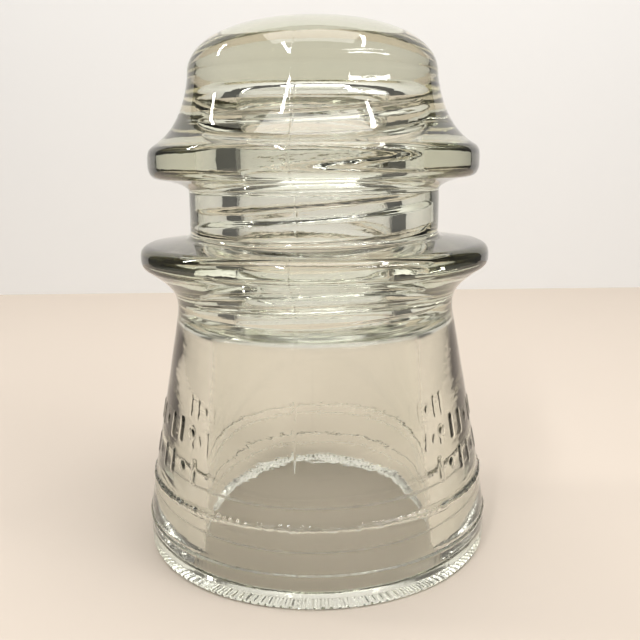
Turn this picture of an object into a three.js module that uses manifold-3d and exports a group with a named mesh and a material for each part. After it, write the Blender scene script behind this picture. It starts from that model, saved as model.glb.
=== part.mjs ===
// Pony pin insulator: one pressed-glass body, in millimetres, +Z up, standing on its base rim at Z 0.
// From the top down it has a dome, an upper ridge, a plain wire groove, a lower ridge and a hollow flaring
// skirt. A threaded pinhole opens into the skirt. The mould leaves two seams, two parting lines, a fluted rim
// and rows of raised marks.
import * as THREE from "three";
import { mergeVertices } from "three/addons/utils/BufferGeometryUtils.js";
import Module from "manifold-3d";

const wasm = await Module();
wasm.setup();

const { degToRad, smoothstep } = THREE.MathUtils;
const TURN = 2 * Math.PI;

// ---- Driving dimensions. A radius is measured from the Z axis and a height from the base rim. ----

const HEIGHT = 90.9;
const SEGMENTS = 48; // facets round the axis

// Base band and skirt, outside
const BASE_RADIUS = 31.1;
const BASE_BAND_HEIGHT = 5.8;
const HEEL = 0.6; // bevel between the base band and the rim
const RING_RADIUS = 30.05; // where the mould's parting ring stands on the skirt
const RING_HEIGHT = 12.9;
const LINE_PROUD = 0.2; // how far the squeezed-out glass of a parting line stands out
const LINE_RISE = 0.4; // from the middle of a parting line to its edge
const SKIRT_TOP_RADIUS = 25; // the skirt's straight cone ends here
const SKIRT_TOP_HEIGHT = 40.5;
const SKIRT_SLOPE = (RING_RADIUS - SKIRT_TOP_RADIUS) / (SKIRT_TOP_HEIGHT - RING_HEIGHT);
const WAIST_LEAD = 4; // how far the waist's curve carries on along the cone
const UNDERSIDE_LEAD = 6; // and along the lower ridge's underside

// Ridges: a nose reaches `depth` inwards and `rise` up and down, between two angles from straight outwards.
// A squareness of 1 would make it an ellipse, and less makes it flatter outside.
const LOWER_RIDGE = {
  radius: 30.65, height: 51.65, depth: 2.75, rise: 2.25, squareness: 0.75, from: -52, to: 76,
};
const UPPER_RIDGE = {
  radius: 28.7, height: 67.6, depth: 3.15, rise: 2.95, squareness: 0.63, from: -80, to: 56,
};
const NOSE_STEPS = 5;
const CURVE_STEPS = 5;

// Wire groove and dome
const GROOVE_RADIUS = 22;
const GROOVE_FLOOR = 54.6;
const GROOVE_ROOF = 63.9;
const GROOVE_CORNER = 0.8;
const DOME_RADIUS = 21.5;
const DOME_FOOT = 81.4;
const DOME_SQUARENESS = 0.87;
const CROWN_STEPS = 8;
const SHOULDER_FLARE = 0.75;
const SHOULDER_DROP = 4.85;
const SHOULDER_LEAD = 4.5; // how far the shoulder's curve carries on along the upper ridge

// Skirt cavity
const RIM_INNER_RADIUS = 22.4;
const SHELF_RADIUS = 18.6; // where the skirt wall meets the shelf
const SHELF_HEIGHT = 39.6;
const SHELF_FILLET = 2;

// Pinhole for the standard one-inch pin: four right-handed turns to the inch, 1/16 inch wider per inch deep
const INCH = 25.4;
const THREAD_PITCH = INCH / 4;
const THREAD_DEPTH = 0.85;
const THREAD_START = degToRad(-137);
const THREAD_FOOT = 0.48; // the crest's flanks, as shares of a cosine wave
const THREAD_TOP = 0.95;
const PIN_TAPER = 1 / 32; // radius gained per unit of depth
const MOUTH_RADIUS = 14.4; // thread root at the shelf
const MOUTH_CHAMFER = 1.2;
const PINHOLE_ROOF = 78.8;
const PINHOLE_ROOF_FILLET = 3;
const TAP_FACETS = 26;
const TAP_STEPS_PER_PITCH = 8;

// Rim flutes and seams
const RIM_FLUTES = 150;
const FLUTE_DEPTH = 0.38;
const FLUTE_INNER_RADIUS = 25.8;
const FLUTE_OUTER_RADIUS = 30.4;
const FLUTE_RUN_OUT = 0.5; // length of the ramp at each end of a flute
const SEAM_WIDTH = 0.6;
const SEAM_PROUD = 0.2;
const SEAM_TURNS = [degToRad(-5.7), degToRad(-177.2)]; // from -Y towards +X
const SEAM_TOP = 3; // the seams fade out this far below the crown

// Raised marks: two rows of bars and dots on the right and left of the skirt
const MARK_ROWS = [18.6, 24.4];
const MARKS_IN_ROW = 6;
const MARK_FIRST = 44; // degrees from -Y
const MARK_STEP = 6.6;
const MARK_ROW_SHIFT = 3;
const MARK_BAR = 3.6;
const MARK_WIDTH = 0.9;
const MARK_DOT_RADIUS = 0.8;
const MARK_PROUD = 0.16;
const MARK_ROOT = 1; // how far a mark reaches into the wall

// ---- Helpers ----

// A closed three.js geometry as a solid for joining and cutting.
function solidOf(geometry) {
  const bare = geometry.index ? geometry.toNonIndexed() : geometry.clone();
  bare.deleteAttribute("normal");
  bare.deleteAttribute("uv");
  const merged = mergeVertices(bare, 1e-4);
  return new wasm.Manifold(
    new wasm.Mesh({
      numProp: 3,
      vertProperties: merged.attributes.position.array,
      triVerts: new Uint32Array(merged.index.array),
    }),
  );
}

// A solid's surface as a three.js geometry.
function geometryOf(solid) {
  const mesh = solid.getMesh();
  const geometry = new THREE.BufferGeometry();
  geometry.setAttribute("position", new THREE.BufferAttribute(new Float32Array(mesh.vertProperties), 3));
  geometry.setIndex(new THREE.BufferAttribute(new Uint32Array(mesh.triVerts), 1));
  geometry.computeVertexNormals();
  return geometry;
}

const at = (radius, height) => new THREE.Vector2(radius, height);

// Numbers in even steps from one to another, both included.
function spread(from, to, steps) {
  return Array.from({ length: steps + 1 }, (_, i) => from + ((to - from) * i) / steps);
}

// Points on a circular arc between two angles in degrees from straight outwards.
function arc(centre, size, from, to, steps) {
  return spread(degToRad(from), degToRad(to), steps).map((angle) =>
    at(centre.x + size * Math.cos(angle), centre.y + size * Math.sin(angle)),
  );
}

// The point reached by going straight on from one point past the next.
function carriedOn(point, before, distance) {
  return point.clone().add(point.clone().sub(before).setLength(distance));
}

// Points on a cubic curve that leaves `start` towards `first` and reaches `end` from `second`.
function sweep(start, first, second, end, steps) {
  return new THREE.CubicBezierCurve(start, first, second, end).getPoints(steps);
}

// A closed mesh from flat lists of coordinates and corner numbers.
function solidFrom(vertices, triangles) {
  const geometry = new THREE.BufferGeometry();
  geometry.setAttribute("position", new THREE.Float32BufferAttribute(vertices, 3));
  geometry.setIndex(triangles);
  return solidOf(geometry);
}

// Turns a profile, listed from its lowest point outwards and up, into a solid about the Z axis.
function turned(profile) {
  const geometry = new THREE.LatheGeometry(profile, SEGMENTS);
  geometry.rotateX(Math.PI / 2);
  return solidOf(geometry);
}

// ---- Outer profile ----

// The points of a parting line between the surface radii just below and just above it.
function partingLine(below, above, height) {
  const crest = (below + above) / 2 + LINE_PROUD;
  return [at(below, height - LINE_RISE), at(crest, height), at(above, height + LINE_RISE)];
}

function skirtOutline() {
  return [
    at(0, 0),
    at(BASE_RADIUS - HEEL, 0),
    at(BASE_RADIUS, HEEL),
    ...partingLine(BASE_RADIUS, BASE_RADIUS, BASE_BAND_HEIGHT),
    ...partingLine(RING_RADIUS, RING_RADIUS - SKIRT_SLOPE * LINE_RISE, RING_HEIGHT),
  ];
}

// A ridge's rounded edge, from its underside up.
function ridgeNose({ radius, height, depth, rise, squareness, from, to }) {
  return spread(degToRad(from), degToRad(to), NOSE_STEPS).map((angle) => {
    const out = Math.cos(angle) ** squareness;
    const up = Math.sign(angle) * Math.abs(Math.sin(angle)) ** squareness;
    return at(radius - depth + depth * out, height + rise * up);
  });
}

function waistOutline(nose) {
  const skirtTop = at(SKIRT_TOP_RADIUS, SKIRT_TOP_HEIGHT);
  const onCone = at(SKIRT_TOP_RADIUS - SKIRT_SLOPE * WAIST_LEAD, SKIRT_TOP_HEIGHT + WAIST_LEAD);
  return sweep(skirtTop, onCone, carriedOn(nose[0], nose[1], UNDERSIDE_LEAD), nose[0], CURVE_STEPS);
}

function grooveOutline() {
  return [
    at(GROOVE_RADIUS + GROOVE_CORNER, GROOVE_FLOOR),
    at(GROOVE_RADIUS, GROOVE_FLOOR + GROOVE_CORNER),
    at(GROOVE_RADIUS, GROOVE_ROOF - GROOVE_CORNER),
    at(GROOVE_RADIUS + GROOVE_CORNER, GROOVE_ROOF),
  ];
}

function shoulderOutline(nose) {
  const end = nose[nose.length - 1];
  const foot = at(DOME_RADIUS, DOME_FOOT);
  const flare = at(DOME_RADIUS + SHOULDER_FLARE, DOME_FOOT - SHOULDER_DROP);
  return sweep(end, carriedOn(end, nose[nose.length - 2], SHOULDER_LEAD), flare, foot, CURVE_STEPS);
}

function crownOutline() {
  return spread(0, Math.PI / 2, CROWN_STEPS).map((angle) => {
    const out = Math.max(Math.cos(angle), 0) ** DOME_SQUARENESS;
    return at(DOME_RADIUS * out, DOME_FOOT + (HEIGHT - DOME_FOOT) * Math.sin(angle) ** DOME_SQUARENESS);
  });
}

function wholeOutline() {
  const lowerNose = ridgeNose(LOWER_RIDGE);
  const upperNose = ridgeNose(UPPER_RIDGE);
  return [
    ...skirtOutline(),
    ...waistOutline(lowerNose),
    ...lowerNose.slice(1),
    ...grooveOutline(),
    ...upperNose,
    ...shoulderOutline(upperNose).slice(1),
    ...crownOutline().slice(1),
  ];
}

const outline = wholeOutline();

// ---- Inside ----

// The hollow of the skirt, up to the shelf round the pinhole's mouth.
function skirtCavity() {
  const fillet = arc(at(SHELF_RADIUS - SHELF_FILLET, SHELF_HEIGHT - SHELF_FILLET), SHELF_FILLET, 6, 90, 4);
  const below = -1;
  const mouth = [at(0, below), at(RIM_INNER_RADIUS, below), at(RIM_INNER_RADIUS, 0)];
  return turned([...mouth, ...fillet, at(0, SHELF_HEIGHT)]);
}

// How far the thread's crest stands in from its root, at an angle from +X.
function threadCrest(height, angle) {
  const phase = (TURN * height) / THREAD_PITCH - angle - Math.PI / 2 + THREAD_START;
  return THREAD_DEPTH * smoothstep(0.5 + 0.5 * Math.cos(phase), THREAD_FOOT, THREAD_TOP);
}

// The thread root's radius, with the chamfered mouth and the rounded roof.
function rootRadius(height) {
  const root = MOUTH_RADIUS - PIN_TAPER * (height - SHELF_HEIGHT);
  const mouth = Math.max(0, MOUTH_CHAMFER - Math.max(0, height - SHELF_HEIGHT));
  const intoFillet = Math.max(0, PINHOLE_ROOF_FILLET - (PINHOLE_ROOF - height));
  const lost = PINHOLE_ROOF_FILLET - Math.sqrt(Math.max(0, PINHOLE_ROOF_FILLET ** 2 - intoFillet ** 2));
  return root + mouth - lost;
}

// The pinhole as the tap that would cut it: a tapering core with one rounded thread wound round it.
function pinTap() {
  const foot = SHELF_HEIGHT - 0.5;
  const rings = Math.round(((PINHOLE_ROOF - foot) / THREAD_PITCH) * TAP_STEPS_PER_PITCH);
  const vertices = [0, 0, foot, 0, 0, PINHOLE_ROOF];
  spread(foot, PINHOLE_ROOF, rings).forEach((height) => {
    for (let facet = 0; facet < TAP_FACETS; facet += 1) {
      const angle = (TURN * facet) / TAP_FACETS;
      const radius = rootRadius(height) - threadCrest(height, angle);
      vertices.push(radius * Math.cos(angle), radius * Math.sin(angle), height);
    }
  });
  const corner = (ring, facet) => 2 + ring * TAP_FACETS + (facet % TAP_FACETS);
  const triangles = [];
  for (let facet = 0; facet < TAP_FACETS; facet += 1) {
    triangles.push(0, corner(0, facet + 1), corner(0, facet));
    triangles.push(1, corner(rings, facet), corner(rings, facet + 1));
    for (let ring = 0; ring < rings; ring += 1) {
      const [a, b] = [corner(ring, facet), corner(ring, facet + 1)];
      const [c, d] = [corner(ring + 1, facet), corner(ring + 1, facet + 1)];
      triangles.push(a, b, d, a, d, c);
    }
  }
  return solidFrom(vertices, triangles);
}

// ---- Mould marks ----

// A crown of V-shaped teeth that presses the radial flutes into the outer part of the rim.
function fluteCutter() {
  const below = -1;
  const valley = -0.05; // between two teeth the cutter stays clear of the rim
  const section = [
    [FLUTE_INNER_RADIUS, below],
    [FLUTE_OUTER_RADIUS, below],
    [FLUTE_OUTER_RADIUS - FLUTE_RUN_OUT, FLUTE_DEPTH],
    [FLUTE_INNER_RADIUS + FLUTE_RUN_OUT, FLUTE_DEPTH],
  ];
  const around = 2 * RIM_FLUTES;
  const vertices = [];
  const triangles = [];
  for (let i = 0; i < around; i += 1) {
    const angle = (TURN * i) / around;
    section.forEach(([radius, height], k) => {
      const top = i % 2 ? height : Math.min(height, valley);
      vertices.push(radius * Math.cos(angle), radius * Math.sin(angle), top);
      const next = (i + 1) % around;
      const [a, b] = [i * 4 + k, i * 4 + ((k + 1) % 4)];
      const [c, d] = [next * 4 + k, next * 4 + ((k + 1) % 4)];
      triangles.push(a, c, d, a, d, b);
    });
  }
  return solidFrom(vertices, triangles);
}

// The thin fin that two mould parts leave, up to near the crown of the dome, at an angle from -Y towards +X.
function seamFin(angle) {
  const side = outline.slice(1).filter((point) => point.y > HEEL && point.y < HEIGHT - SEAM_TOP);
  const edge = side.map((point) => at(point.x + SEAM_PROUD, point.y));
  const shape = new THREE.Shape([at(0, edge[0].y), ...edge, at(0, edge[edge.length - 1].y)]);
  const geometry = new THREE.ExtrudeGeometry(shape, { depth: SEAM_WIDTH, bevelEnabled: false });
  geometry.translate(0, 0, -SEAM_WIDTH / 2);
  geometry.rotateX(Math.PI / 2);
  geometry.rotateZ(angle - Math.PI / 2);
  return solidOf(geometry);
}

// One raised mark, at an angle from -Y towards +X.
function raisedMark(angle, height, isDot) {
  const depth = MARK_PROUD + MARK_ROOT;
  const geometry = isDot
    ? new THREE.CylinderGeometry(MARK_DOT_RADIUS, MARK_DOT_RADIUS, depth, 8)
    : new THREE.BoxGeometry(MARK_WIDTH, depth, MARK_BAR);
  const surface = RING_RADIUS - SKIRT_SLOPE * (height - RING_HEIGHT);
  geometry.translate(0, (MARK_ROOT - MARK_PROUD) / 2, 0);
  geometry.rotateX(-Math.atan(SKIRT_SLOPE));
  geometry.translate(0, -surface, height);
  geometry.rotateZ(angle);
  return solidOf(geometry);
}

function raisedMarks() {
  const marks = [];
  [1, -1].forEach((side) => {
    MARK_ROWS.forEach((height, row) => {
      for (let step = 0; step < MARKS_IN_ROW; step += 1) {
        const angle = side * degToRad(MARK_FIRST + MARK_STEP * step + MARK_ROW_SHIFT * row);
        marks.push(raisedMark(angle, height, (step + row) % 3 === 1));
      }
    });
  });
  return marks;
}

// ---- The body ----

function glassBody() {
  const added = [...SEAM_TURNS.map(seamFin), ...raisedMarks()];
  const outside = added.reduce((body, piece) => body.add(piece), turned(outline));
  return outside.subtract(skirtCavity()).subtract(pinTap()).subtract(fluteCutter());
}

const glass = new THREE.MeshStandardMaterial({
  color: 0xdfe6da,
  roughness: 0.05,
  metalness: 0,
  transparent: true,
  opacity: 0.35,
});

const insulator = new THREE.Group();
const body = new THREE.Mesh(geometryOf(glassBody()), glass);
body.name = "glass_body";
insulator.add(body);

export default insulator;
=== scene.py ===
import math

import bpy
import numpy as np
from mathutils import Matrix, Vector


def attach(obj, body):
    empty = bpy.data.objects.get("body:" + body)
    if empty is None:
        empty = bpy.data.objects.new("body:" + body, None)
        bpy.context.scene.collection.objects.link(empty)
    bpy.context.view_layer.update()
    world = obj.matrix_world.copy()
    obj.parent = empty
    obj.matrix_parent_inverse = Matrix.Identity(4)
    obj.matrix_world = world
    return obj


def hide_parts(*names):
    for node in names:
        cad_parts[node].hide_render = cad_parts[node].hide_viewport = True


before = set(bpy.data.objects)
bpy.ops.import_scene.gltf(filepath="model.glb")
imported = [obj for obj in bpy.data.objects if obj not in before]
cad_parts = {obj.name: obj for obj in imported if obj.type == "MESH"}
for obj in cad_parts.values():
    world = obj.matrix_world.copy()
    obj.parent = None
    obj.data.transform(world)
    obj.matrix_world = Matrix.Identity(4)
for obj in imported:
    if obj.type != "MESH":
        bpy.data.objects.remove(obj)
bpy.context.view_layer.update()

# A pony pin insulator of clear pressed glass. The CAD node gives its place and size. This script builds the
# same one-piece body again as a fine mesh, with the marks that the mould and the plunger leave on real glass.

MM = 0.001
TURN = 2 * math.pi

# ---- Driving dimensions, in millimetres from the axis and from the base rim ----

HEIGHT = 90.9
BASE_RADIUS = 31.1
BASE_BAND_HEIGHT = 5.8
RING_RADIUS = 30.05
RING_HEIGHT = 12.9
RING_PROUD = 0.38
RING_HALF_WIDTH = 0.44
BASE_LINE_PROUD = 0.12
BASE_LINE_HALF_WIDTH = 0.16
BASE_LIP = 0.16  # how much further out the base band stands than the skirt above it
LINE_EDGE = 0.9  # from the middle of the parting ring to the plain skirt
BAND_EDGE = 0.7  # from the base band's upper edge to plain glass on either side
HEEL = 0.6
SKIRT_TOP_RADIUS = 25.0
SKIRT_TOP_HEIGHT = 40.5

LOWER_RIDGE_RADIUS = 30.65
LOWER_RIDGE_HEIGHT = 51.65
LOWER_NOSE_DEPTH = 2.75
LOWER_NOSE_RISE = 2.25
LOWER_NOSE_SQUARENESS = 0.75
GROOVE_RADIUS = 22.0
GROOVE_FLOOR = 54.6
GROOVE_ROOF = 63.9
GROOVE_CORNER = 1.1
UPPER_RIDGE_RADIUS = 28.7
UPPER_RIDGE_HEIGHT = 67.6
UPPER_NOSE_DEPTH = 3.15
UPPER_NOSE_RISE = 2.95
UPPER_NOSE_SQUARENESS = 0.63
DOME_RADIUS = 21.5
DOME_FOOT = 81.4
DOME_SQUARENESS = 0.87
SHOULDER_FLARE = 0.75
SHOULDER_DROP = 4.85
SHOULDER_LEAD = 4.5  # how far the shoulder's curve carries on along the upper ridge
UNDERSIDE_LEAD = 6  # and along the lower ridge's underside
WAIST_LEAD = 4  # and up the line of the skirt

RIM_INNER_RADIUS = 22.4
RIM_LIP = 0.5
SHELF_RADIUS = 18.6
SHELF_HEIGHT = 39.6
SHELF_FILLET = 2.0

THREAD_PITCH = 25.4 / 4
THREAD_DEPTH = 0.85
THREAD_START = math.radians(-137)
THREAD_ROOT_EDGE = 0.48
THREAD_CREST_EDGE = 0.95
PIN_TAPER = 1 / 32
MOUTH_RADIUS = 14.4
MOUTH_CHAMFER = 1.2
PINHOLE_ROOF = 78.8
PINHOLE_ROOF_FILLET = 3.0

RIM_FLUTES = 150
FLUTE_DEPTH = 0.38
FLUTE_INNER_RADIUS = 25.8
FLUTE_OUTER_RADIUS = 30.3

# Angles round the axis are measured from -Y towards +X.
FRONT_SEAM = math.radians(-5.7)
FRONT_SEAM_ABOVE_RING = math.radians(-7.3)
REAR_SEAM = math.radians(-177.2)
SEAM_PROUD = 0.1
SEAM_HALF_WIDTH = 0.2
SEAM_STEP = 0.03  # one mould half's glass stands this much prouder beside the seam
SEAM_STEP_EDGE = 0.15
SEAM_STEP_REACH = 3
KNOT_WIDTH = 0.7
KNOT_RISE = 0.6
RING_KNOT = 0.28
BASE_KNOT = 0.18

MARK_ROWS = (18.6, 24.4)
MARK_COUNT = 6
MARK_FIRST = 44  # degrees, as are the step and the shift from one row to the next
MARK_STEP = 6.6
MARK_ROW_SHIFT = 3
MARK_BAR = 3.6  # a bar's length
MARK_STROKE = 0.45  # half a bar's width
MARK_DOT = 0.8  # a dot's radius
MARK_PROUD = 0.16

OUTSIDE_RIPPLE = 0.028
INSIDE_RIPPLE = 0.05
BAND_GRAIN = 0.008

# The glass, with the colour and density of what it takes from light that goes through it
GLASS_IOR = 1.52
DEPTH_COLOUR = (0.835, 0.84, 0.75, 1)
DEPTH_DENSITY = 50
PLAIN_TINT = (1.0, 1.0, 1.0, 1)
HAZE_TINT = (0.965, 0.975, 0.95, 1)
CHILL_DEPTH = 0.00002  # metres, as are the two below
SKIN_DEPTH = 0.000006
FLOOR_GAP = 0.00005  # air under the rim

FLOOR_COLOUR = (0.62, 0.54, 0.46)
WALL_COLOUR = (0.83, 0.825, 0.81)

# The camera stands about 135 mm in front of the axis, as high as the upper ridge. Its angles are in degrees.
CAMERA_LENS = 42.19
CAMERA_SENSOR = 36
CAMERA_PLACE = (0, -134.55, 67.07)
CAMERA_PITCH, CAMERA_YAW, CAMERA_ROLL = 11.75, -0.349, 0.608

# Each uneven line has a seed of its own, so that every run gives the same glass.
OUTSIDE_SEED, INSIDE_SEED, RING_SEED, BASE_LINE_SEED = 11, 23, 41, 51
BASE_LIP_SEED, FLUTE_SEED, GRAIN_SEED = 61, 71, 81


# ---- Profile curves, as (radius, height) points ----

def arc(centre, size, start, end, steps):
    angles = np.radians(np.linspace(start, end, steps + 1))
    return np.column_stack([centre[0] + size * np.cos(angles), centre[1] + size * np.sin(angles)])


def sweep(start, first, second, end, steps):
    t = np.linspace(0, 1, steps + 1)[:, None]
    start, first, second, end = (np.array(p, float) for p in (start, first, second, end))
    return (1 - t) ** 3 * start + 3 * t * (1 - t) ** 2 * first + 3 * t * t * (1 - t) * second + t ** 3 * end


def line(start, end, steps):
    t = np.linspace(0, 1, steps + 1)[:, None]
    return np.array(start, float) * (1 - t) + np.array(end, float) * t


def joined(*pieces):
    """The pieces one after another, each without its first point where it repeats the last one."""
    points = [pieces[0]]
    for piece in pieces[1:]:
        repeats = np.allclose(points[-1][-1], piece[0], atol=1e-6)
        points.append(piece[1:] if repeats else piece)
    return np.vstack(points)


def rounded(corner, before, after, steps=5):
    """A small curve round a corner, from one point to another."""
    t = np.linspace(0, 1, steps + 1)[:, None]
    before, corner, after = (np.array(p, float) for p in (before, corner, after))
    return (1 - t) ** 2 * before + 2 * t * (1 - t) * corner + t * t * after


def crown():
    angles = np.linspace(math.pi / 2, 0, 46)
    out = np.clip(np.cos(angles), 0, 1) ** DOME_SQUARENESS
    up = np.sin(angles) ** DOME_SQUARENESS
    return np.column_stack([DOME_RADIUS * out, DOME_FOOT + (HEIGHT - DOME_FOOT) * up])


def ridge_nose(middle, size, squareness, start, end):
    """The edge of a ridge: flatter on the outside than a circle is, from the top down."""
    (radius, height), (depth, rise) = middle, size
    angles = np.radians(np.linspace(start, end, 37))
    out = np.abs(np.cos(angles)) ** squareness
    up = np.sign(np.sin(angles)) * np.abs(np.sin(angles)) ** squareness
    return np.column_stack([radius - depth + depth * out, height + rise * up])


def carried_on(point, before, distance):
    """The point reached by going straight on from one point past the next."""
    step = point - before
    return point + step / np.hypot(*step) * distance


def shoulder_and_upper_ridge():
    middle = (UPPER_RIDGE_RADIUS, UPPER_RIDGE_HEIGHT)
    nose = ridge_nose(middle, (UPPER_NOSE_DEPTH, UPPER_NOSE_RISE), UPPER_NOSE_SQUARENESS, 56, -80)
    shoulder = sweep(
        (DOME_RADIUS, DOME_FOOT),
        (DOME_RADIUS + SHOULDER_FLARE, DOME_FOOT - SHOULDER_DROP),
        carried_on(nose[0], nose[1], SHOULDER_LEAD),
        nose[0],
        30,
    )
    return joined(shoulder, nose)


def wire_groove(above):
    """From the upper ridge's underside, down the groove's wall, to its floor."""
    wall_top = (GROOVE_RADIUS, GROOVE_ROOF - GROOVE_CORNER)
    wall_foot = (GROOVE_RADIUS, GROOVE_FLOOR + GROOVE_CORNER)
    roof = rounded((GROOVE_RADIUS + 0.6, GROOVE_ROOF + 0.1), above, wall_top, 10)
    floor = rounded((GROOVE_RADIUS, GROOVE_FLOOR), wall_foot, (GROOVE_RADIUS + 1.2, GROOVE_FLOOR - 0.1), 6)
    return joined(roof, line(wall_top, wall_foot, 12), floor)


def skirt_slope():
    return (RING_RADIUS - SKIRT_TOP_RADIUS) / (SKIRT_TOP_HEIGHT - RING_HEIGHT)


def lower_ridge():
    middle = (LOWER_RIDGE_RADIUS, LOWER_RIDGE_HEIGHT)
    nose = ridge_nose(middle, (LOWER_NOSE_DEPTH, LOWER_NOSE_RISE), LOWER_NOSE_SQUARENESS, 76, -52)
    waist = sweep(
        nose[-1],
        carried_on(nose[-1], nose[-2], UNDERSIDE_LEAD),
        (SKIRT_TOP_RADIUS - WAIST_LEAD * skirt_slope(), SKIRT_TOP_HEIGHT + WAIST_LEAD),
        (SKIRT_TOP_RADIUS, SKIRT_TOP_HEIGHT),
        34,
    )
    return joined(nose, waist)


def skirt():
    band_top = (BASE_RADIUS, BASE_BAND_HEIGHT + BAND_EDGE)
    above_ring = (RING_RADIUS - LINE_EDGE * skirt_slope(), RING_HEIGHT + LINE_EDGE)
    below_ring = (RING_RADIUS + 0.12, RING_HEIGHT - LINE_EDGE)
    return joined(
        line((SKIRT_TOP_RADIUS, SKIRT_TOP_HEIGHT), above_ring, 110),
        line(above_ring, (RING_RADIUS, RING_HEIGHT), 12),
        line((RING_RADIUS, RING_HEIGHT), below_ring, 12),
        line(below_ring, band_top, 16),
    )


def base_band():
    top = (BASE_RADIUS, BASE_BAND_HEIGHT + BAND_EDGE)
    foot = (BASE_RADIUS, BASE_BAND_HEIGHT - BAND_EDGE)
    band = line(foot, (BASE_RADIUS, 1.5 * HEEL), 12)
    heel = rounded((BASE_RADIUS, 0), band[-1], (BASE_RADIUS - HEEL, 0), 6)
    return joined(line(top, foot, 20), band, heel)


def lip_top():
    return (RIM_INNER_RADIUS - 0.05, RIM_LIP)


def rim():
    fluted = line((BASE_RADIUS - HEEL, 0), (FLUTE_INNER_RADIUS - 0.4, 0), 20)
    smooth = line(fluted[-1], (RIM_INNER_RADIUS + RIM_LIP, 0), 6)
    lip = rounded((RIM_INNER_RADIUS, 0), smooth[-1], lip_top(), 5)
    return joined(fluted, smooth, lip)


def cavity():
    centre = (SHELF_RADIUS - SHELF_FILLET, SHELF_HEIGHT - SHELF_FILLET)
    fillet = arc(centre, SHELF_FILLET, 6, 90, 14)
    wall = line(lip_top(), fillet[0], 40)
    shelf = line(fillet[-1], (MOUTH_RADIUS + MOUTH_CHAMFER + 0.3, SHELF_HEIGHT), 4)
    return joined(wall, fillet, shelf)


def pinhole():
    """The thread's root, up the pinhole and over its rounded roof to the axis."""
    mouth = rounded(
        (MOUTH_RADIUS + MOUTH_CHAMFER, SHELF_HEIGHT),
        (MOUTH_RADIUS + MOUTH_CHAMFER + 0.3, SHELF_HEIGHT),
        (MOUTH_RADIUS + MOUTH_CHAMFER - 0.3, SHELF_HEIGHT + 0.3),
        3,
    )
    throat = (MOUTH_RADIUS, SHELF_HEIGHT + MOUTH_CHAMFER + 0.3)
    bore_top = PINHOLE_ROOF - PINHOLE_ROOF_FILLET
    top_radius = MOUTH_RADIUS - PIN_TAPER * (bore_top - SHELF_HEIGHT)
    chamfer = line(mouth[-1], throat, 4)
    bore = line(throat, (top_radius, bore_top), 130)
    fillet = arc((top_radius - PINHOLE_ROOF_FILLET, bore_top), PINHOLE_ROOF_FILLET, 0, 90, 12)
    roof = line(fillet[-1], (0, PINHOLE_ROOF), 12)
    return joined(mouth, chamfer, bore, fillet, roof)


# ---- The mesh: every profile point swept round the axis, then pushed in or out by the marks ----

def smoothstep(low, high, value):
    t = np.clip((value - low) / (high - low), 0, 1)
    return t * t * (3 - 2 * t)


def turn_angles():
    """Angles round the axis from -Y towards +X, evenly spaced, with more of them at the two seams."""
    even = np.linspace(-math.pi, math.pi, 5 * RIM_FLUTES, endpoint=False)
    near = np.radians(np.linspace(-1.2, 1.2, 21))
    angles = np.concatenate([even, FRONT_SEAM + near, FRONT_SEAM_ABOVE_RING + near, REAR_SEAM + near])
    angles = np.unique(np.round(angles, 5))
    keep = np.concatenate([[True], np.diff(angles) > 2e-4])
    return angles[keep]


def ripple(height, angle, seed, size):
    """The slow waves of pressed glass, as a sum of sines that run round the body and up it."""
    random = np.random.default_rng(seed)
    total = np.zeros(np.broadcast(height, angle).shape)
    for _ in range(14):
        lobes = random.integers(0, 9)
        rise = random.uniform(-0.9, 0.9)
        wave = np.sin(lobes * angle + rise * height + random.uniform(0, TURN))
        total = total + random.uniform(0.3, 1) * wave
    return size * total / math.sqrt(14)


def gap_to(angle, seam):
    """The signed angle from a seam, between minus and plus half a turn."""
    return (angle - seam + math.pi) % TURN - math.pi


def seam_lift(height, angle, radius):
    """The fine fin where the mould halves met, which fades over the crown."""
    front = np.where(height > RING_HEIGHT, FRONT_SEAM_ABOVE_RING, FRONT_SEAM)
    lift = 0
    for seam in (front, REAR_SEAM):
        across = gap_to(angle, seam) * radius
        lift = lift + SEAM_PROUD * np.exp(-(across / SEAM_HALF_WIDTH) ** 2)
        one_side = 0.5 + 0.5 * np.tanh(across / SEAM_STEP_EDGE)
        lift = lift + SEAM_STEP * one_side * np.exp(-(across / SEAM_STEP_REACH) ** 2)
    return lift * smoothstep(HEIGHT - 2, HEIGHT - 9, height)


def ring_knots(height, angle, radius):
    """Small lumps where the seams cross the parting lines."""
    lift = 0
    knots = (
        (FRONT_SEAM_ABOVE_RING, RING_HEIGHT, RING_KNOT),
        (REAR_SEAM, BASE_BAND_HEIGHT, BASE_KNOT),
    )
    for seam, level, size in knots:
        across = gap_to(angle, seam) * radius
        up = height - level
        lift = lift + size * np.exp(-((across / KNOT_WIDTH) ** 2 + (up / KNOT_RISE) ** 2))
    return lift


def wobble(angle, seed, slowest, fastest):
    """An uneven line round the body: about -1 to 1, the same on every run."""
    random = np.random.default_rng(seed)
    total = np.zeros(angle.shape)
    for _ in range(16):
        lobes = random.integers(slowest, fastest)
        total = total + random.uniform(0.4, 1) * np.sin(lobes * angle + random.uniform(0, TURN))
    return total / 4


def parting_line(height, angle, level, proud, half_width, seed):
    """The uneven line of glass that is squeezed out where two mould parts met."""
    middle = level + 0.07 * wobble(angle, seed, 20, 160)
    size = proud * np.clip(1 + 0.45 * wobble(angle, seed + 1, 12, 200), 0.25, 1.8)
    return size * np.exp(-((height - middle) / half_width) ** 2)


def base_lip(height, angle):
    """The base band stands a little prouder than the skirt above it, with an uneven upper edge."""
    edge = BASE_BAND_HEIGHT + 0.09 * wobble(angle, BASE_LIP_SEED, 20, 220)
    return BASE_LIP * (smoothstep(edge + 0.12, edge - 0.12, height) - 1)


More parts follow.
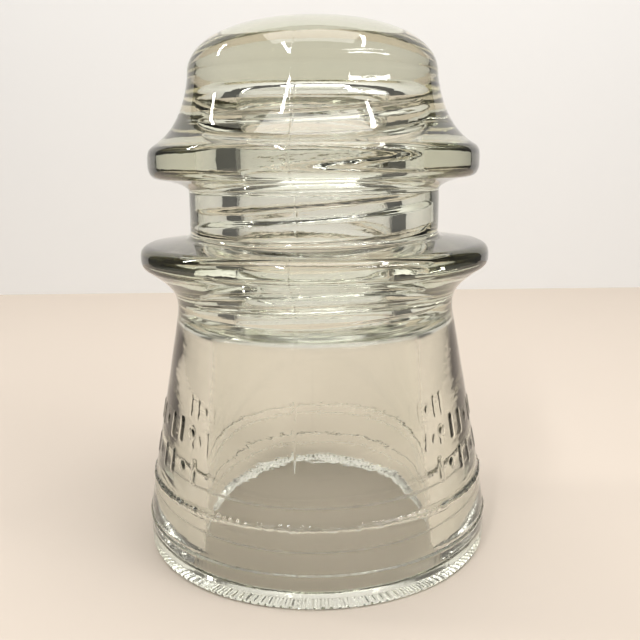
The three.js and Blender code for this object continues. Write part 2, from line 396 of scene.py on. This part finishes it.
def raised_marks(height, angle, radius):
    """Raised bars and dots, a plain mould code, in two rows on each side of the skirt."""
    lift = np.zeros(np.broadcast(height, angle).shape)
    for azimuth, level, is_dot in mark_places():
        across = gap_to(angle, azimuth) * radius
        up = height - level
        if is_dot:
            shape = smoothstep(MARK_DOT + 0.3, MARK_DOT - 0.5, np.hypot(across, up))
        else:
            shape = smoothstep(MARK_STROKE + 0.3, MARK_STROKE - 0.35, np.abs(across))
            shape = shape * smoothstep(MARK_BAR / 2 + 0.3, MARK_BAR / 2 - 0.2, np.abs(up))
        lift = lift + MARK_PROUD * shape
    return lift


def mark_places():
    """Each mark's angle from -Y towards +X, its height, and whether it is a dot."""
    places = []
    for side in (1, -1):
        for row, level in enumerate(MARK_ROWS):
            for step in range(MARK_COUNT):
                azimuth = side * math.radians(MARK_FIRST + MARK_STEP * step + MARK_ROW_SHIFT * row)
                places.append((azimuth, level, (step + row) % 3 == 1))
    return places


def thread_crest(height, angle):
    """How far the right-handed thread stands into the pinhole."""
    phase = TURN * height / THREAD_PITCH - angle + THREAD_START
    wave = smoothstep(THREAD_ROOT_EDGE, THREAD_CREST_EDGE, 0.5 + 0.5 * np.cos(phase))
    runs = smoothstep(SHELF_HEIGHT + 0.3, SHELF_HEIGHT + 3.5, height)
    runs = runs * smoothstep(PINHOLE_ROOF - 1.5, PINHOLE_ROOF - 4.5, height)
    return THREAD_DEPTH * wave * runs


def insulator_mesh():
    ridge_above = shoulder_and_upper_ridge()
    outside = joined(crown(), ridge_above, wire_groove(ridge_above[-1]), lower_ridge(), skirt(), base_band())
    under = rim()
    inside = joined(cavity(), pinhole())
    profile = joined(outside, under, inside)
    outer = (np.arange(len(profile)) < len(outside))[:, None]
    in_bore = (np.arange(len(profile)) >= len(profile) - len(pinhole()))[:, None]

    angle = turn_angles()[None, :]
    plain_radius = np.repeat(profile[:, :1], angle.shape[1], axis=1)
    height = np.repeat(profile[:, 1:], angle.shape[1], axis=1)

    marks = seam_lift(height, angle, plain_radius) + raised_marks(height, angle, plain_radius)
    stronger_in_front = 0.65 + 0.35 * np.cos(angle)
    ring = parting_line(height, angle, RING_HEIGHT, RING_PROUD, RING_HALF_WIDTH, RING_SEED)
    marks = marks + stronger_in_front * ring + ring_knots(height, angle, plain_radius)
    base_line = parting_line(
        height, angle, BASE_BAND_HEIGHT, BASE_LINE_PROUD, BASE_LINE_HALF_WIDTH, BASE_LINE_SEED
    )
    marks = marks + base_line + base_lip(height, angle)
    above_rim = smoothstep(0.5, 3, height)
    waves = ripple(height, angle, OUTSIDE_SEED, OUTSIDE_RIPPLE) * above_rim
    waves_inside = ripple(height, angle, INSIDE_SEED, INSIDE_RIPPLE) * above_rim
    on_band = smoothstep(BASE_BAND_HEIGHT, BASE_BAND_HEIGHT - 1, height)
    grain = BAND_GRAIN * wobble(angle, GRAIN_SEED, 60, 250) * on_band
    push = np.where(outer, marks + waves + grain, -waves_inside)
    push = push - np.where(in_bore, thread_crest(height, angle), 0)
    radius = plain_radius + push * smoothstep(0, 6, plain_radius)

    tooth = 0.5 - 0.5 * np.cos(angle * RIM_FLUTES)
    tooth = tooth * (1 + 0.25 * wobble(angle, FLUTE_SEED, 10, 60))
    fluted = smoothstep(FLUTE_INNER_RADIUS - 0.3, FLUTE_INNER_RADIUS + 0.5, plain_radius)
    fluted = fluted * smoothstep(FLUTE_OUTER_RADIUS + 0.5, FLUTE_OUTER_RADIUS, plain_radius)
    fluted = fluted * smoothstep(1.0, 0.0, height)
    height = height + FLUTE_DEPTH * tooth * fluted

    across = radius[1:-1] * MM
    points = np.stack([across * np.sin(angle), -across * np.cos(angle), height[1:-1] * MM], axis=-1)
    return points, HEIGHT * MM, PINHOLE_ROOF * MM


def glass_mesh(name):
    points, top, roof = insulator_mesh()
    rings, around = points.shape[:2]
    vertices = np.concatenate([points.reshape(-1, 3), [[0, 0, top], [0, 0, roof]]])
    crown_tip, roof_tip = rings * around, rings * around + 1
    here = np.arange(around)
    there = (here + 1) % around
    faces = []
    for ring in range(rings - 1):
        a, b = ring * around, (ring + 1) * around
        faces.extend(np.column_stack([a + here, b + here, b + there, a + there]).tolist())
    last = (rings - 1) * around
    faces.extend(np.column_stack([np.full(around, crown_tip), here, there]).tolist())
    faces.extend(np.column_stack([last + here, np.full(around, roof_tip), last + there]).tolist())
    mesh = bpy.data.meshes.new(name)
    mesh.from_pydata(vertices.tolist(), [], faces)
    mesh.validate()
    mesh.shade_smooth()
    return mesh


# ---- Materials ----

def new_material(name):
    material = bpy.data.materials.new(name)
    material.use_nodes = True
    nodes = material.node_tree.nodes
    return material, nodes, material.node_tree.links, nodes["Principled BSDF"]


def noise(nodes, links, place, scale, detail, stretch=(1, 1, 1)):
    """A noise texture in object space, which can be drawn out along an axis."""
    mapping = nodes.new("ShaderNodeMapping")
    mapping.inputs["Scale"].default_value = stretch
    links.new(place.outputs["Object"], mapping.inputs["Vector"])
    texture = nodes.new("ShaderNodeTexNoise")
    texture.inputs["Scale"].default_value = scale
    texture.inputs["Detail"].default_value = detail
    links.new(mapping.outputs["Vector"], texture.inputs["Vector"])
    return texture.outputs["Fac"]


def mapped(nodes, links, value, start, end, low, high):
    span = nodes.new("ShaderNodeMapRange")
    for name, number in (("From Min", start), ("From Max", end), ("To Min", low), ("To Max", high)):
        span.inputs[name].default_value = number
    links.new(value, span.inputs["Value"])
    return span.outputs["Result"]


def bumped(nodes, links, height, distance, before=None):
    bump = nodes.new("ShaderNodeBump")
    bump.inputs["Strength"].default_value = 1.0
    bump.inputs["Distance"].default_value = distance
    links.new(height, bump.inputs["Height"])
    if before is not None:
        links.new(before, bump.inputs["Normal"])
    return bump.outputs["Normal"]


def combined(nodes, links, operation, first, second):
    maths = nodes.new("ShaderNodeMath")
    maths.operation = operation
    for socket, value in zip(maths.inputs, (first, second)):
        if isinstance(value, bpy.types.NodeSocket):
            links.new(value, socket)
        else:
            socket.default_value = value
    return maths.outputs["Value"]


def height_band(nodes, links, place, level, half_width, amount):
    """A value that rises to its full amount at one height of the object and fades above and below it."""
    split = nodes.new("ShaderNodeSeparateXYZ")
    links.new(place.outputs["Object"], split.inputs["Vector"])
    away = combined(nodes, links, "SUBTRACT", split.outputs["Z"], level)
    away = combined(nodes, links, "ABSOLUTE", away, 0)
    return mapped(nodes, links, away, half_width, 0, 0, amount)


def clear_glass():
    """Clear pressed glass with a faint yellow-green tint that deepens with thickness."""
    material, nodes, links, shader = new_material("clear_pressed_glass")
    shader.inputs["Transmission Weight"].default_value = 1.0
    shader.inputs["IOR"].default_value = GLASS_IOR
    place = nodes.new("ShaderNodeTexCoord")

    haze = noise(nodes, links, place, 60, 4)
    roughness = mapped(nodes, links, haze, 0.35, 0.75, 0.0, 0.06)
    rougher_at = (
        (RING_HEIGHT, 0.5, 0.4),
        (BASE_BAND_HEIGHT, 0.45, 0.4),
        (SHELF_HEIGHT, 2.2, 0.16),
        (0, 1.2, 0.1),
    )
    for level, half_width, amount in rougher_at:
        band = height_band(nodes, links, place, level * MM, half_width * MM, amount)
        roughness = combined(nodes, links, "ADD", roughness, band)
    links.new(roughness, shader.inputs["Roughness"])
    tone = nodes.new("ShaderNodeMix")
    tone.data_type = "RGBA"
    tone.inputs["A"].default_value = HAZE_TINT
    tone.inputs["B"].default_value = PLAIN_TINT
    links.new(haze, tone.inputs["Factor"])
    links.new(tone.outputs["Result"], shader.inputs["Base Color"])

    chill = noise(nodes, links, place, 240, 3, (1, 1, 3.5))
    skin = noise(nodes, links, place, 900, 2)
    waved = bumped(nodes, links, chill, CHILL_DEPTH)
    links.new(bumped(nodes, links, skin, SKIN_DEPTH, waved), shader.inputs["Normal"])

    depth = nodes.new("ShaderNodeVolumeAbsorption")
    depth.inputs["Color"].default_value = DEPTH_COLOUR
    depth.inputs["Density"].default_value = DEPTH_DENSITY
    links.new(depth.outputs["Volume"], nodes["Material Output"].inputs["Volume"])
    return material


def plain_surface(name, colour):
    material, _, _, shader = new_material(name)
    shader.inputs["Base Color"].default_value = (*colour, 1)
    shader.inputs["Roughness"].default_value = 0.7
    return material


# ---- Stage, light and camera ----

def stage():
    """A pale floor with a pale wall behind the object."""
    front, back, half_width, wall_top = -0.5, 0.265, 0.32, 0.62
    for name, colour, ends in (
        ("floor", FLOOR_COLOUR, ((front, -FLOOR_GAP), (back, -FLOOR_GAP))),
        ("wall", WALL_COLOUR, ((back, -FLOOR_GAP), (back, wall_top))),
    ):
        vertices = [(side * half_width, y, z) for y, z in ends for side in (-1, 1)]
        mesh = bpy.data.meshes.new(name)
        mesh.from_pydata(vertices, [], [(0, 1, 3, 2)])
        mesh.materials.append(plain_surface("pale_" + name, colour))
        surface = bpy.data.objects.new(name, mesh)
        bpy.context.collection.objects.link(surface)


def new_light(name, size, power, colour):
    light = bpy.data.lights.new(name, "AREA")
    light.shape = "RECTANGLE"
    light.size, light.size_y = size
    light.energy = power
    light.color = colour
    lamp = bpy.data.objects.new(name, light)
    bpy.context.collection.objects.link(lamp)
    return lamp


def aimed_light(name, place, aim, size, power, colour):
    lamp = new_light(name, size, power, colour)
    lamp.location = place
    lamp.rotation_euler = (Vector(aim) - Vector(place)).to_track_quat("-Z", "Y").to_euler()


def strip_light(name, start, end, width, power, colour):
    """A long lamp between two points, turned to face the object."""
    start, end, middle = Vector(start), Vector(end), Vector((0, 0, HEIGHT / 2 * MM))
    place = (start + end) / 2
    along = (end - start).normalized()
    back = place - middle
    back = (back - back.dot(along) * along).normalized()
    lamp = new_light(name, (width, (end - start).length), power, colour)
    turn = Matrix((along.cross(back), along, back)).transposed().to_4x4()
    lamp.matrix_world = Matrix.Translation(place) @ turn


def studio():
    world = bpy.data.worlds.new("room")
    world.use_nodes = True
    world.node_tree.nodes["Background"].inputs["Color"].default_value = (0.30, 0.29, 0.28, 1)
    world.node_tree.nodes["Background"].inputs["Strength"].default_value = 0.4
    bpy.context.scene.world = world
    bpy.context.scene.view_settings.view_transform = "Standard"
    warm, white = (1, 0.97, 0.93), (1, 1, 1)
    aimed_light("wall_wash", (0, -0.05, 0.62), (0, 0.2, 0.05), (0.5, 0.4), 2.4, white)
    strip_light("left_strip", (-0.60, 0.08, 0.37), (-0.44, 0.20, 0.53), 0.022, 0.8, warm)
    strip_light("over_strip", (-0.20, -0.55, 0.38), (-0.20, -0.25, 0.62), 0.022, 1.2, white)
    strip_light("right_strip", (0.60, -0.19, 0.36), (0.32, -0.50, 0.41), 0.024, 0.8, white)
    strip_light("right_upper_strip", (0.54, -0.17, 0.45), (0.27, -0.48, 0.49), 0.018, 0.6, white)
    strip_light("right_over_strip", (0.40, -0.30, 0.55), (0.27, 0.07, 0.69), 0.03, 1.1, warm)


def camera():
    """The view from in front, tipped down and barely turned."""
    data = bpy.data.cameras.new("view")
    data.sensor_width = CAMERA_SENSOR
    data.lens = CAMERA_LENS
    data.clip_start = 0.01
    view = bpy.data.objects.new("view", data)
    bpy.context.collection.objects.link(view)
    pitch, yaw, roll = (math.radians(angle) for angle in (CAMERA_PITCH, CAMERA_YAW, CAMERA_ROLL))
    tip, tilt = Matrix.Rotation(math.pi / 2 - pitch, 4, "X"), Matrix.Rotation(-roll, 4, "Z")
    turn = Matrix.Rotation(yaw, 4, "Z") @ tip @ tilt
    view.matrix_world = Matrix.Translation([length * MM for length in CAMERA_PLACE]) @ turn
    bpy.context.scene.camera = view


# ---- Scene ----

camera()
stage()
studio()

body = bpy.data.objects.new("pressed_glass_body", glass_mesh("pressed_glass_body"))
bpy.context.collection.objects.link(body)
body.data.materials.append(clear_glass())
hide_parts("glass_body")
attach(body, "root")
